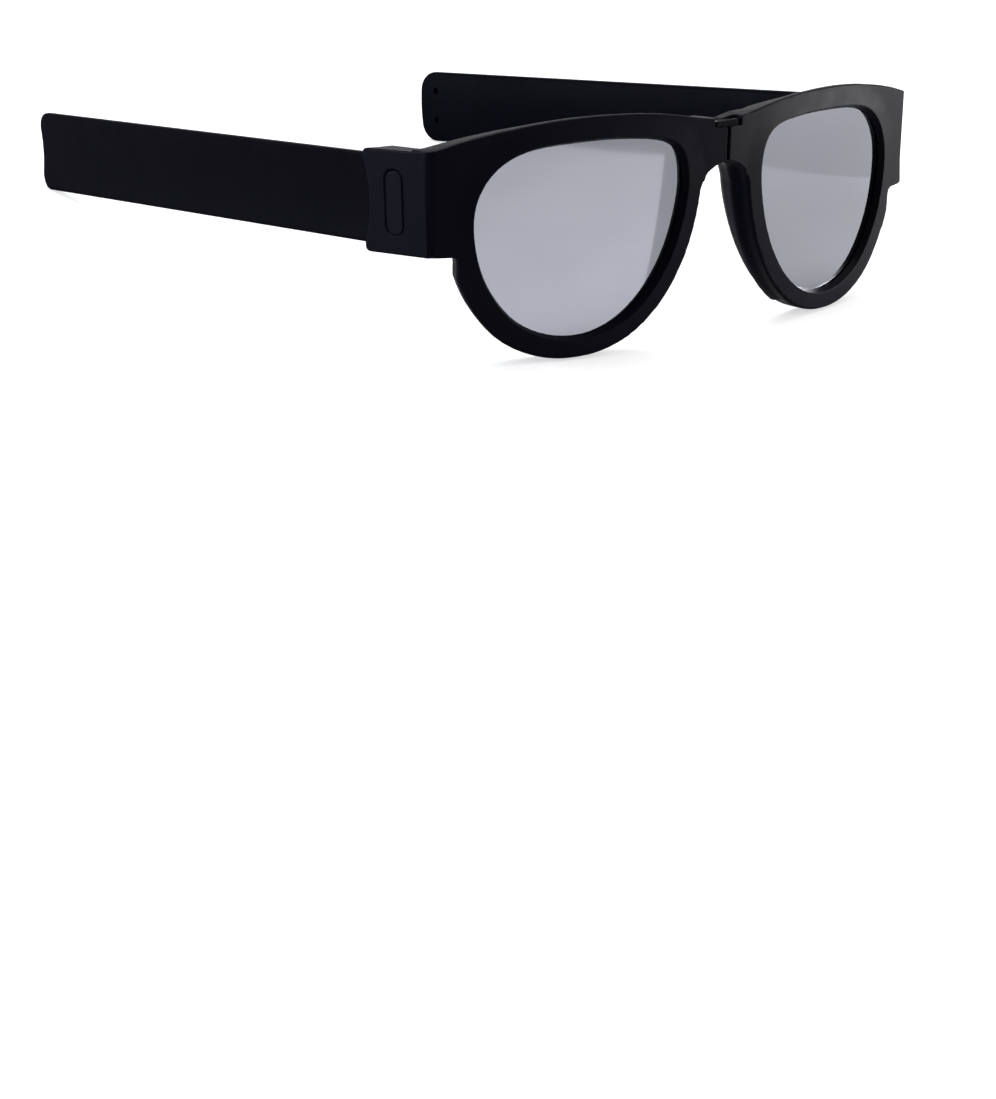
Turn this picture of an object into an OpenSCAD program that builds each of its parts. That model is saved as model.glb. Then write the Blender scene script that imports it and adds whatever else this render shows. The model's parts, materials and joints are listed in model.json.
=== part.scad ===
// Slap sunglasses that fold at the bridge, with bistable strap temples.
// The front is modelled upright: X runs across, Y runs from the front towards the ears, Z is up,
// and the point on the seam at the top of the bridge is the zero point. The whole model is then
// leaned back until the rims and the two strap tips stand on the floor.

/* [Front] */
// Half of the width across the front corners
half_w = 72.7; // [70:0.1:78]
// Slope of each half of the front, back from the seam
front_slope = 0.06; // [0.02:0.005:0.09]
// Bow of the front: depth gained per square millimetre
front_bow = 0.0016; // [0.001:0.0001:0.002]
// Depth of the front, from front face to back face
front_depth = 5.2; // [5:0.1:6]
// Radius of the upright outer corner of the front
corner_r = 1.4; // [0.8:0.1:2]
// Rise of the brow above the top of the bridge
brow_rise = 3.5; // [1:0.1:5]
// Height of the bridge at the seam
bridge_h = 8.6; // [8:0.1:10]

/* [Lenses] */
// Width of the opening, half way down its bevel
lens_w = 52; // [49:0.1:53]
// Height of the opening, half way down its bevel
lens_h = 41.1; // [38:0.1:43]
// Distance from the seam to the opening
lens_inset = 10.8; // [10:0.1:12]
// Distance from the top of the bridge down to the opening
lens_drop = 2; // [1.5:0.1:3]
// Thickness of a lens
lens_t = 1.8; // [1.4:0.1:2]
// Depth of the lens behind the front face
lens_set = 1.6; // [1.4:0.1:2.6]
// Depth of the groove that holds the edge of the lens
lens_bite = 0.8; // [0.5:0.1:1.2]
// Half of the width of the bevel round the opening
bevel = 1; // [0.6:0.1:1.2]
// Width of the rim under the lens
rim_w = 2.6; // [2:0.1:4]
// Extra width of the rim on its outer side
rim_flare = 1.5; // [0:0.1:3]
// Distance by which the outer side of the rim draws in towards its back face
rim_draft = 2.2; // [0:0.1:2.6]
// Distance by which the brow falls towards its back face
brow_draft = 0.9; // [0:0.1:1.4]

/* [Nose pads] */
// Depth of the pads behind the front
pad_depth = 6; // [3:0.1:7]
// Thickness of a pad at its free edge
pad_t = 2; // [1.4:0.1:3]
// Angle at which the pads spread towards the face
pad_spread = 24; // [10:1:35]
// How far it bulges past the rim towards the nose
pad_bulge = 0.5; // [0:0.1:0.8]

/* [Temple blocks] */
// Length of a block behind the front corner
block_len = 18.9; // [18:0.1:22]
// Height of a block
block_h = 21.3; // [21:0.1:23]
// Distance from the top of the bridge down to the middle of a block
block_drop = 12.25; // [12:0.05:12.6]
// Outward spread of a block over its length
block_spread = 2.1; // [0.8:0.1:2.4]
// Outer wall of a block at the mouth
block_wall = 1; // [0.8:0.1:1.2]
// Inner wall of a block
block_inner_wall = 1; // [0.8:0.1:1.6]
// Downward angle of the temples against the front
temple_dip = 4.2; // [2:0.1:6]
// Angle by which the temples turn in towards each other
temple_toe = 3.6; // [0:0.1:5]
// Depth of the finger scallop in the outer wall
scallop = 1.8; // [1:0.1:2.6]
// Radius of the upper and lower rear corners
rear_r = 1.2; // [0.6:0.1:1.4]

/* [Release buttons] */
// Length of a button along the temple
button_len = 4.7; // [4:0.1:5]
// Height of a button
button_h = 13; // [11:0.1:14.5]
// Distance from the front corner to the button
button_set = 7.7; // [7.6:0.1:8]
// Travel of a button
button_travel = 0.4; // [0.2:0.05:0.45]
// Running gap round a button
button_gap = 0.15; // [0.1:0.01:0.2]
// How far it stands out of the block
button_rise = 0.25; // [0:0.05:0.3]
// Radius of its corners
button_r = 2; // [1:0.1:2.2]

/* [Straps] */
// Length of a strap outside its block
strap_len = 141; // [120:1:165]
// Height of a strap
strap_h = 18.6; // [16:0.1:18.8]
// Thickness of the sleeve
sleeve_t = 2.2; // [1.8:0.1:2.4]
// Arch of a strap across its height
strap_arch = 1; // [0.6:0.1:1.2]
// Number of pieces that the sleeve bends in
pieces = 14; // [12:1:16]
// Angle that the first piece curls by
curl_first = 8; // [4:0.5:10]
// Angle that the second piece curls by
curl_second = 21.5; // [18:0.1:22]
// Growth of the curl angle from each piece to the next
curl_growth = 0.74; // [0.4:0.01:0.8]
// Radius of the corners of a strap tip
tip_r = 4.5; // [2:0.1:6]
// Thickness of the spring blade
blade_t = 0.3; // [0.2:0.05:0.4]
// Height of the spring blade
blade_h = 14; // [10:0.5:15]
// Gap between the outer wall of a block and the strap
mouth_gap = 1.25; // [1.1:0.05:1.4]

/* [Bridge hinge] */
// Distance from the seam to a hinge pin
pin_x = 3; // [2.8:0.1:3.4]
// Distance from the front face to a hinge pin
pin_y = 1.65; // [1.6:0.05:1.8]
// Radius of a hinge pin
pin_r = 0.6; // [0.5:0.05:0.65]
// Thickness of the link that joins the pins
link_t = 1.2; // [0.8:0.1:1.6]
// Distance from the seam to a hinge screw
screw_x = 6.6; // [6.4:0.1:7.2]

/* [Hidden] */

$fn = 48;
eps = 0.01;
far = 60;

// Clearances
fit = 0.15;
snug = 0.05;
running = 0.03;
seam_gap = 0.02;
joint_gap = 0.02;

// Colours
black = "#16171c";
strap_black = "#14151b";
mirror_grey = "#a6a8b2";
steel = "#8d9096";

// Front surface and curves

function front_y(x) = front_slope * abs(x) + front_bow * x * x;
function spline(a, b, c, d, t) =
    0.5 * (2 * b + (c - a) * t + (2 * a - 5 * b + 4 * c - d) * t * t
    + (3 * b - a - 3 * c + d) * t * t * t);
function closed_curve(P, n) = let (m = len(P)) [
    for (i = [0:m - 1], j = [0:n - 1])
        spline(P[(i + m - 1) % m], P[i], P[(i + 1) % m], P[(i + 2) % m], j / n)
];
function open_curve(P, n) =
    let (m = len(P), Q = concat([2 * P[0] - P[1]], P, [2 * P[m - 1] - P[m - 2]]))
    [for (i = [0:m - 2], j = [0:n - 1]) spline(Q[i], Q[i + 1], Q[i + 2], Q[i + 3], j / n)];
function unit(v) = v / norm(v);
function reversed(P) = [for (i = [len(P) - 1:-1:0]) P[i]];
function arc(c, r, a0, a1, n) =
    [for (i = [0:n]) let (a = a0 + (a1 - a0) * i / n) c + r * [cos(a), sin(a)]];

// Opening of one lens, half way down its bevel, as shares of its width and height
opening_shape = [
    [0.49, 0], [0.73, 0.02], [0.875, 0.085], [0.965, 0.2], [1, 0.35], [0.98, 0.55],
    [0.918, 0.73], [0.805, 0.89], [0.65, 0.982], [0.48, 1], [0.315, 0.94], [0.18, 0.81],
    [0.08, 0.63], [0.022, 0.435], [0, 0.255], [0.027, 0.11], [0.107, 0.035], [0.277, 0.005]
];
curve_steps = 4;
opening = closed_curve(
    [for (p = opening_shape) [lens_inset + p[0] * lens_w, -lens_drop - p[1] * lens_h]], curve_steps);
opening_n = len(opening);
// Outward normals of the opening
opening_normals = [
    for (i = [0:opening_n - 1])
        let (d = unit(opening[(i + 1) % opening_n] - opening[(i + opening_n - 1) % opening_n]))
        [-d[1], d[0]]
];
function opening_offset(w) = [for (i = [0:opening_n - 1]) opening[i] + w * opening_normals[i]];

// Outline of the left half of the front, seen from the front
corner_top = -block_drop + block_h / 2;
corner_bottom = -block_drop - block_h / 2;
brow = open_curve([
    [0, 0], [0.1 * half_w, 0.33 * brow_rise], [0.2 * half_w, 0.68 * brow_rise],
    [0.33 * half_w, 0.94 * brow_rise], [0.47 * half_w, brow_rise], [0.61 * half_w, 0.88 * brow_rise],
    [0.75 * half_w, 0.6 * brow_rise], [0.88 * half_w, 0.15 * brow_rise], [half_w, corner_top]
], 3);
rim_first = 21;
rim_last = 55;
function rim_at(flare) = [
    for (i = [rim_first:rim_last])
        let (n = opening_normals[i]) opening[i] + n * (bevel + rim_w + flare * max(0, n[0]))
];
rim_curve = rim_at(rim_flare);
// Ends of the nose pad, as points of the opening and of the arch
pad_first = 44;
pad_last_arch = 9;
// Step between the underside of a block and the rim beside it
notch_r = 1.4;
notch_step = 0.3;
function notch_at(p) =
    arc([p[0] + notch_r, corner_bottom - notch_step - notch_r], notch_r, 90, 180, 4);
// Arch over the nose, from the rim up to the seam
arch_end = rim_curve[rim_last - rim_first];
arch = open_curve([
    arch_end, [0.79 * arch_end[0], -1.295 * bridge_h], [0.58 * arch_end[0], -1.156 * bridge_h],
    [0.31 * arch_end[0], -1.05 * bridge_h], [0, -bridge_h]
], 3);
function outline_at(top, rim) = concat(
    top, [[half_w, corner_top], [half_w, corner_bottom]],
    notch_at(rim[0]), rim, [for (i = [1:len(arch) - 1]) arch[i]], [[0, -bridge_h]]);
half_outline = outline_at(brow, rim_curve);
// The same outline at the back face, where the brow and the outer side of the rim draw in
brow_fall_from = 0.18 * half_w;
rear_rim = rim_at(rim_flare - rim_draft);
rear_outline = outline_at([
    for (p = brow)
        let (t = (p[0] - brow_fall_from) / (half_w - brow_fall_from))
        [p[0], p[1] - (t > 0 ? brow_draft * pow(sin(180 * t), 0.6) : 0)]
], rear_rim);

// Plan of a layer of the front, from y0 to y1 behind the front face
plan_steps = 20;
function layer(x0, x1, y0, y1) =
    let (xs = [for (i = [0:plan_steps]) x0 + (x1 - x0) * i / plan_steps])
    concat([for (x = xs) [x, front_y(x) + y0]], reversed([for (x = xs) [x, front_y(x) + y1]]));

// Temple frame: X across as before, Y along the temple from the front corner, Z from the block's middle
corner_y = front_y(half_w);
mouth_y = block_len + fit;
slot_x = half_w + block_spread - block_wall;
strap_x = slot_x - mouth_gap;
block_x = strap_x - strap_arch - sleeve_t - fit - block_inner_wall;

// Flange that keeps a button in its block, the leaf that pushes it out, and the chamber round them
flange_t = 0.4;
flange_w = 0.5;
flange_play = 0.05;
spring_t = 0.15;
spring_w = 3;
spring_reach = 6;
chamber_wall = 0.85;
chamber_y = button_set - flange_w - 0.2;
chamber_x = half_w + block_spread * chamber_y / block_len - chamber_wall;

// Clip that holds the root of a strap, its two rivets, and the part of the sleeve inside the block
clip_x = chamber_x - flange_play - flange_t - button_travel - spring_t - 2 * snug;
root_len = 6;
clip_y0 = chamber_y + fit;
clip_y1 = mouth_y - root_len - fit;
rivet_z = 4.6;
rivet_r = 0.8;
piece_len = strap_len / pieces;

// Blind moulding holes on the inner face of a strap tip
tip_hole_r = 0.65;
tip_hole_depth = 0.5;
tip_hole_inset = 6;
tip_hole_zs = [-0.18 * strap_h, 0.24 * strap_h];

// Bridge hinge: link on top, knuckles and leaves below it, screws from the back
link_r = 1;
link_sink = 0.1;
sweep_room = 0.1;
knuckle_top = -link_t - 2 * link_sink;
knuckle_bottom = -bridge_h + 2.2;
pin_foot = 0.5;
leaf_y = 1.15;
leaf_t = 1.1;
leaf_end = screw_x + 1.8;
screw_r = 0.55;
screw_head_r = 1.1;
screw_head_t = 0.7;
screw_z = -4;
screw_seat_y = front_y(screw_x) + front_depth - 1.2;

// Angle that piece k curls by, from 1, and nothing past the tip
function curl(k) = k == 1 ? curl_first : k > pieces ? 0 : curl_second + curl_growth * (k - 2);

// Lean of the whole model: found by letting the rims and the strap tips touch the floor together
function tip_centre(end, x) =
    let (y = mouth_y + strap_len - tip_r, z = end * (strap_h / 2 - tip_r))
    [
        corner_y + (y * cos(temple_dip) + z * sin(temple_dip)) * cos(temple_toe)
            + (x - half_w) * sin(temple_toe),
        -block_drop - y * sin(temple_dip) + z * cos(temple_dip)
    ];
function rim_height(a) =
    min([for (p = rear_rim) p[1] * cos(a) - (front_y(p[0]) + front_depth) * sin(a)]);
function tip_height(a) =
    let (c = tip_centre(-1, strap_x))
    c[1] * cos(a) - c[0] * sin(a) - tip_r * norm([cos(a), cos(temple_toe) * sin(a)]);
function settle(lo, hi, n) =
    let (mid = (lo + hi) / 2)
    n == 0 ? mid : tip_height(mid) > rim_height(mid) ? settle(mid, hi, n - 1) : settle(lo, mid, n - 1);
lean = settle(0, 15, 24);
floor_z = rim_height(lean);
front_reach = min([for (p = rim_curve) front_y(p[0]) * cos(lean) + p[1] * sin(lean)]);
tip_reach =
    let (c = tip_centre(1, strap_x))
    c[0] * cos(lean) + c[1] * sin(lean) + tip_r * norm([cos(temple_toe) * cos(lean), sin(lean)]);
middle_y = (front_reach + tip_reach) / 2;

echo(lean = lean, floor_z = floor_z, middle_y = middle_y);
echo(corner_y = corner_y, strap_x = strap_x, block_x = block_x);

// Placing

module stand() {
    translate([0, -middle_y, -floor_z]) rotate([-lean, 0, 0]) children();
}
module side(s) {
    stand() mirror([s < 0 ? 1 : 0, 0, 0]) children();
}
module temple() {
    translate([half_w, corner_y, -block_drop]) rotate([-temple_dip, 0, temple_toe])
        translate([-half_w, 0, 0]) children();
}
// Extrudes a plan drawn in X and Y
module up(z0, z1) {
    translate([0, 0, z0]) linear_extrude(z1 - z0) children();
}
// Extrudes an outline drawn in X and Z
module back(y0, y1) {
    translate([0, y1, 0]) rotate([90, 0, 0]) linear_extrude(y1 - y0) children();
}
// Extrudes an outline drawn in Y and Z, from x0 to x1
module across(x0, x1) {
    translate([x0, 0, 0]) rotate([90, 0, 90]) linear_extrude(x1 - x0) children();
}

// Front

// Solid round the outline of a half, which draws in behind the front face
module outline_solid() {
    n = len(half_outline);
    straight = 0.2 * front_depth;
    function on_front(outline, depth) = [for (p = outline) [p[0], front_y(p[0]) + depth, p[1]]];
    function upright(outline, y) = [for (p = outline) [p[0], y, p[1]]];
    points = concat(
        upright(half_outline, -5), on_front(half_outline, straight),
        on_front(rear_outline, front_depth), upright(rear_outline, far));
    sides = [
        for (r = [0:2], i = [0:n - 1])
            let (j = (i + 1) % n, a = r * n)
            each [[a + i, a + n + j, a + j], [a + i, a + n + i, a + n + j]]
    ];
    polyhedron(points, concat(sides, [[for (i = [0:n - 1]) i], [for (i = [n - 1:-1:0]) 3 * n + i]]));
}

// Bevel round the opening, from in front of the front face down to the lens
module bevel_cut() {
    n = opening_n;
    rings = [[-1.5, 2.2 * bevel], [0, bevel], [lens_set, -bevel]];
    function ring(r) = [for (p = opening_offset(r[1])) [p[0], front_y(p[0]) + r[0], p[1]]];
    middle = [lens_inset + lens_w / 2, -lens_drop - lens_h / 2];
    ends = [
        [middle[0], front_y(middle[0]) - 4, middle[1]],
        [middle[0], front_y(middle[0]) + lens_set, middle[1]]
    ];
    points = concat(ring(rings[0]), ring(rings[1]), ring(rings[2]), ends);
    sides = [
        for (r = [0:1], i = [0:n - 1])
            let (j = (i + 1) % n, a = r * n)
            each [[a + i, a + n + j, a + j], [a + i, a + n + i, a + n + j]]
    ];
    first_cap = [for (i = [0:n - 1]) [3 * n, i, (i + 1) % n]];
    last_cap = [for (i = [0:n - 1]) [3 * n + 1, 2 * n + (i + 1) % n, 2 * n + i]];
    polyhedron(points, concat(sides, first_cap, last_cap));
}

// Section of the nose pad, as distances towards the nose and behind the front face
function pad_section(bulge, depth) =
    let (slant = tan(pad_spread), back = bulge - slant * depth)
    [
        [-0.2, 2.4], [0.7 * bulge, 3.2], [bulge, 4.4],
        [bulge - 0.5 * slant * depth, front_depth + 0.5 * depth], [back - 0.3, front_depth + 0.88 * depth],
        [back - 0.55 * pad_t, front_depth + depth], [back - pad_t, front_depth + 0.85 * depth],
        [-rim_w - 0.4, 3.6]
    ];

// One integral nose pad: a lobe behind the rim beside the nose, which runs up under the bridge
module nose_pad() {
    line = concat(
        [for (i = [pad_first - rim_first - 1:rim_last - rim_first]) rim_curve[i]],
        [for (i = [1:pad_last_arch + 1]) arch[i]]);
    stations = len(line) - 2;
    n = len(pad_section(0, 0));
    points = [
        for (i = [1:stations])
            let (
                p = line[i],
                d = unit(line[i + 1] - line[i - 1]),
                from_top = (stations - i) / (stations - 1),
                rise = pow(sin(180 * pow(from_top, 0.75)), 0.7)
            )
            for (q = pad_section(-0.15 + (pad_bulge + 0.15) * rise, -0.3 + (pad_depth + 0.3) * rise))
                [p[0] - d[1] * q[0], front_y(p[0]) + q[1], p[1] + d[0] * q[0]]
    ];
    sides = [
        for (i = [0:stations - 2], j = [0:n - 1])
            let (a = n * i + j, b = n * i + (j + 1) % n)
            each [[a, b, b + n], [a, b + n, a + n]]
    ];
    last = n * (stations - 1);
    caps = [for (j = [0:n - 3]) each [[n - 1, j + 1, j], [last + n - 1, last + j, last + j + 1]]];
    polyhedron(points, concat(sides, caps));
}

// Section of a strap or of its slot: grow is a clearance all round
module strap_section(thickness, height, grow = 0, inset = 0, edge = 0) {
    steps = 10;
    top = height / 2 + grow;
    zs = [for (i = [0:steps]) -top + 2 * top * i / steps];
    function arch_x(z) = strap_x - strap_arch * (1 - pow(2 * z / strap_h, 2)) - inset;
    function pull(i) = (i == 0 || i == steps) ? edge : 0;
    outer = [for (i = [0:steps]) [arch_x(zs[i]) + grow - pull(i), zs[i]]];
    inner = [for (i = [0:steps]) [arch_x(zs[i]) - thickness - grow + pull(i), zs[i]]];
    polygon(concat(outer, reversed(inner)));
}

module block_plan() {
    polygon([
        [half_w - 0.02, 0.6], [half_w + block_spread, block_len], [slot_x, block_len],
        [block_x + block_inner_wall, block_len - 1], [block_x, block_len - 1], [block_x, front_depth / 2],
        [half_w - 2, 0.6]
    ]);
}

module block_body() {
    z1 = block_h / 2;
    intersection() {
        up(-z1, z1) block_plan();
        across(0, 2 * far) polygon(concat(
            [[0, -z1 - eps], [block_len - rear_r, -z1 - eps]],
            arc([block_len - rear_r, rear_r - z1], rear_r, -90, 0, 5),
            arc([block_len - rear_r, z1 - rear_r], rear_r, 0, 90, 5),
            [[block_len - rear_r, z1 + eps], [0, z1 + eps]]));
    }
}

// Socket for the strap: an arched mouth, and a plain chamber behind the button
module socket() {
    slot_t = mouth_gap + sleeve_t + fit;
    back(clip_y1 - 0.5, block_len + 1) translate([mouth_gap, 0]) strap_section(slot_t, strap_h, fit);
    translate([strap_x - strap_arch - sleeve_t - fit, chamber_y, -strap_h / 2 - fit])
        cube([chamber_x - strap_x + strap_arch + sleeve_t + fit, clip_y1 - chamber_y, strap_h + 2 * fit]);
}

module button_face(grow) {
    r = button_r + grow;
    y0 = button_set - grow;
    y1 = button_set + button_len + grow;
    z1 = button_h / 2 + grow;
    across(block_x + 2, half_w + block_spread + 1) {
        polygon(concat(
            arc([y1 - r, z1 - r], r, 0, 90, 6), arc([y0 + r, z1 - r], r, 90, 180, 6),
            arc([y0 + r, -z1 + r], r, 180, 270, 6), arc([y1 - r, -z1 + r], r, 270, 360, 6)));
    }
}

// Finger scallop in the rear edge of the outer wall
module scallop_cut() {
    chord = strap_h - 1;
    r = (chord * chord / 4 + scallop * scallop) / (2 * scallop);
    translate([strap_x, block_len + r - scallop, 0]) rotate([0, 90, 0])
        cylinder(r = r, h = far, $fn = 96);
}

module temple_block() {
    difference() {
        block_body();
        socket();
        intersection() {
            button_face(button_gap);
            translate([chamber_x - eps, 0, -block_h / 2]) cube([far, far, block_h]);
        }
        scallop_cut();
    }
}

// Sweep of the link past the half that turns on its pin, and the free corner of the seam
module hinge_room() {
    w = link_r + sweep_room;
    up(-link_t - link_sink - snug, far) {
        translate([pin_x, pin_y]) circle(w);
        translate([-1, -5]) square([pin_x + w + 1, pin_y + 5]);
        translate([-1, 0]) square([pin_x + 1, pin_y + w]);
    }
    difference() {
        translate([-1, -5, -2 * bridge_h]) cube([pin_x + 1, pin_y + 5, 3 * bridge_h]);
        translate([pin_x, pin_y, -3 * bridge_h])
            cylinder(r = pin_x - running, h = 5 * bridge_h, $fn = 96);
    }
    translate([-1, -5, -2 * bridge_h]) cube([1 + seam_gap, far, 3 * bridge_h]);
}

module bracket_shape(grow) {
    up(knuckle_bottom - grow, knuckle_top + grow) {
        translate([pin_x, pin_y]) circle(link_r + grow);
        translate([pin_x, leaf_y - grow]) square([leaf_end - pin_x + grow, leaf_t + 2 * grow]);
    }
}

module screw_hole(grow) {
    translate([screw_x, 0, screw_z]) rotate([-90, 0, 0]) {
        translate([0, 0, leaf_y + 0.2 - grow]) cylinder(r = screw_r + grow, h = screw_seat_y - leaf_y);
        translate([0, 0, screw_seat_y - grow])
            cylinder(r = screw_head_r + grow, h = grow > 0 ? far : screw_head_t);
    }
}

module half_front() {
    difference() {
        union() {
            intersection() {
                outline_solid();
                up(-far, far) {
                    xs = [for (i = [0:plan_steps]) (half_w - corner_r) * i / plan_steps];
                    polygon(concat(
                        [for (x = xs) [x, front_y(x)]],
                        arc([half_w - corner_r, corner_y + 0.9 * corner_r], corner_r, -70, 0, 5),
                        [[half_w, corner_y + front_depth]],
                        reversed([for (x = xs) [x, front_y(x) + front_depth]])));
                }
            }
            temple() temple_block();
            nose_pad();
        }
        back(-5, far) polygon(opening_offset(-bevel));
        bevel_cut();
        intersection() {
            back(-5, far) polygon(opening_offset(lens_bite - bevel + snug));
            up(-far, far) polygon(layer(0, half_w, lens_set - snug, lens_set + lens_t + snug));
        }
        temple() socket();
        hinge_room();
        bracket_shape(snug);
        screw_hole(snug);
        translate([pin_x, pin_y, knuckle_bottom - pin_foot - 2 * snug])
            cylinder(r = pin_r + 2 * snug, h = bridge_h);
    }
}

module frame_half(s) {
    color(black) side(s) half_front();
}

module lens(s) {
    color(mirror_grey) side(s) intersection() {
        back(-5, far) polygon(opening_offset(lens_bite - bevel));
        up(-far, far) polygon(layer(0, half_w, lens_set, lens_set + lens_t));
    }
}

// Bridge hinge

module hinge_link() {
    color(steel) stand() difference() {
        up(-link_t - link_sink, -link_sink) {
            for (x = [-pin_x, pin_x]) translate([x, pin_y]) circle(link_r);
            translate([-pin_x, pin_y - link_r]) square([2 * pin_x, 2 * link_r]);
        }
        for (x = [-pin_x, pin_x]) translate([x, pin_y, -link_t - 1])
            cylinder(r = pin_r + running, h = link_t + 2);
    }
}

module hinge_pins() {
    color(steel) stand() for (x = [-pin_x, pin_x])
        translate([x, pin_y, knuckle_bottom - pin_foot])
            cylinder(r = pin_r, h = pin_foot - link_sink - knuckle_bottom);
}

module hinge_bracket(s) {
    color(steel) side(s) difference() {
        bracket_shape(0);
        translate([pin_x, pin_y, knuckle_bottom - 1]) cylinder(r = pin_r + running, h = bridge_h);
        translate([screw_x, leaf_y - 1, screw_z]) rotate([-90, 0, 0])
            cylinder(r = screw_r + snug, h = leaf_t + 2);
    }
}

module hinge_screw(s) {
    color(steel) side(s) difference() {
        screw_hole(0);
        translate([screw_x, screw_seat_y + 0.35, screw_z]) for (a = [0, 90])
            rotate([0, a, 0]) translate([-0.7, 0, -0.15]) cube([1.4, 1, 0.3]);
    }
}

// Temple parts

module release_button(s) {
    color(black) side(s) temple() {
        intersection() {
            button_face(0);
            up(-block_h, block_h) difference() {
                translate([button_rise, 0]) block_plan();
                translate([0, -1]) square([chamber_x - flange_play - snug, far]);
            }
        }
        translate([chamber_x - flange_play - flange_t, button_set - flange_w, -button_h / 2 - flange_w])
            cube([flange_t, button_len + 2 * flange_w, button_h + 2 * flange_w]);
    }
}

// Bowed leaf between the clip and the button
module button_spring(s) {
    foot = clip_x + running;
    rise = chamber_x - flange_play - flange_t - running - spring_t - foot;
    steps = 10;
    line = [
        for (i = [0:steps])
            let (share = 2 * i / steps - 1)
            [foot + rise * (1 - share * share), share * spring_reach]
    ];
    middle = button_set + button_len / 2;
    color(steel) side(s) temple() back(middle - spring_w / 2, middle + spring_w / 2)
        polygon(concat(line, reversed([for (p = line) p + [spring_t, 0]])));
}

module rivet_holes(r) {
    for (z = [-rivet_z, rivet_z])
        translate([block_x, (clip_y0 + clip_y1) / 2, z]) rotate([0, 90, 0])
            cylinder(r = r, h = strap_x - block_x + 1);
}

module strap_clip(s) {
    color(black) side(s) temple() difference() {
        intersection() {
            back(clip_y0, clip_y1) strap_section(sleeve_t, strap_h, 0, 0, 0.4);
            translate([0, 0, -far]) cube([clip_x, far, 2 * far]);
        }
        back(-1, far) blade_section(0.1);
        rivet_holes(rivet_r + running);
    }
}

module clip_rivets(s) {
    color(steel) side(s) temple() intersection() {
        rivet_holes(rivet_r);
        back(0, far) strap_section(sleeve_t, strap_h);
        translate([0, 0, -far]) cube([clip_x, far, 2 * far]);
    }
}

module blade_section(grow) {
    strap_section(blade_t, blade_h, grow, (sleeve_t - blade_t) / 2);
}

module spring_blade(s) {
    color(steel) side(s) temple() difference() {
        back(clip_y0 + 0.8, mouth_y + strap_len - tip_r) blade_section(0);
        rivet_holes(rivet_r + 0.1);
    }
}

module sleeve_body(y0, y1) {
    difference() {
        back(y0, y1) strap_section(sleeve_t, strap_h, 0, 0, 0.5);
        back(clip_y0, mouth_y + strap_len - tip_r + 0.2) blade_section(0.1);
    }
}

// Plan of a piece whose ends lean in by half of the angles that it bends by
module wedge_plan(y0, y1, a0, a1) {
    reach = sleeve_t + strap_arch + 1;
    polygon([
        [strap_x, y0], [strap_x + 0.5, y0], [strap_x + 0.5, y1], [strap_x, y1],
        [strap_x - reach, y1 - reach * tan(a1 / 2)], [strap_x - reach, y0 + reach * tan(a0 / 2)]
    ]);
}

module sleeve_root(s) {
    color(strap_black) side(s) temple() intersection() {
        sleeve_body(mouth_y - root_len, mouth_y);
        up(-far, far) wedge_plan(mouth_y - root_len, mouth_y - joint_gap / 2, 0, curl(1));
    }
}

// Rounded end of the strap, seen from the side
module tip_outline() {
    y1 = mouth_y + strap_len;
    z1 = strap_h / 2;
    polygon(concat(
        [[0, -z1 - eps], [y1 - tip_r, -z1 - eps]], arc([y1 - tip_r, tip_r - z1], tip_r, -90, 0, 8),
        arc([y1 - tip_r, z1 - tip_r], tip_r, 0, 90, 8), [[0, z1 + eps]]));
}

module sleeve_piece(s, k) {
    y0 = mouth_y + (k - 1) * piece_len + joint_gap / 2;
    y1 = mouth_y + k * piece_len - (k == pieces ? 0 : joint_gap / 2);
    color(strap_black) side(s) temple() difference() {
        intersection() {
            sleeve_body(y0 - 1, y1 + 1);
            up(-far, far) wedge_plan(y0, y1, curl(k), curl(k + 1));
            if (k == pieces) across(0, far * 2) tip_outline();
        }
        if (k == pieces) for (z = tip_hole_zs) {
            face = strap_x - sleeve_t - strap_arch * (1 - pow(2 * z / strap_h, 2));
            translate([face - 1, mouth_y + strap_len - tip_hole_inset, z]) rotate([0, 90, 0])
                cylinder(r = tip_hole_r, h = 1 + tip_hole_depth);
        }
    }
}

frame_half(1);  // frame_left
frame_half(-1);  // frame_right
lens(1);  // lens_left
lens(-1);  // lens_right
hinge_link();
hinge_pins();
hinge_bracket(1);  // hinge_bracket_left
hinge_bracket(-1);  // hinge_bracket_right
hinge_screw(1);  // hinge_screw_left
hinge_screw(-1);  // hinge_screw_right
release_button(1);  // release_button_left
release_button(-1);  // release_button_right
button_spring(1);  // button_spring_left
button_spring(-1);  // button_spring_right
strap_clip(1);  // strap_clip_left
strap_clip(-1);  // strap_clip_right
clip_rivets(1);  // clip_rivets_left
clip_rivets(-1);  // clip_rivets_right
spring_blade(1);  // spring_blade_left
spring_blade(-1);  // spring_blade_right
sleeve_root(1);  // sleeve_root_left
sleeve_root(-1);  // sleeve_root_right
for (k = [1:pieces]) sleeve_piece(1, k);
for (k = [1:pieces]) sleeve_piece(-1, k);
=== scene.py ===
"""Looks for the slap sunglasses: satin black plastic, silver mirror lenses and silicone straps.

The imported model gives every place. Two frames of part.scad are found again from its joints: the
front frame (x across, y back, z up, zero at the top of the bridge on the seam) and the strap frame
(x outwards, y along the strap, z up, zero at the first bend). Both are those of the left side, and
the right side is its mirror image. Lengths in them are millimetres, and the model is in metres.
"""
import json
import math

import bpy
import numpy as np
from mathutils import Matrix, Vector


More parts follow.
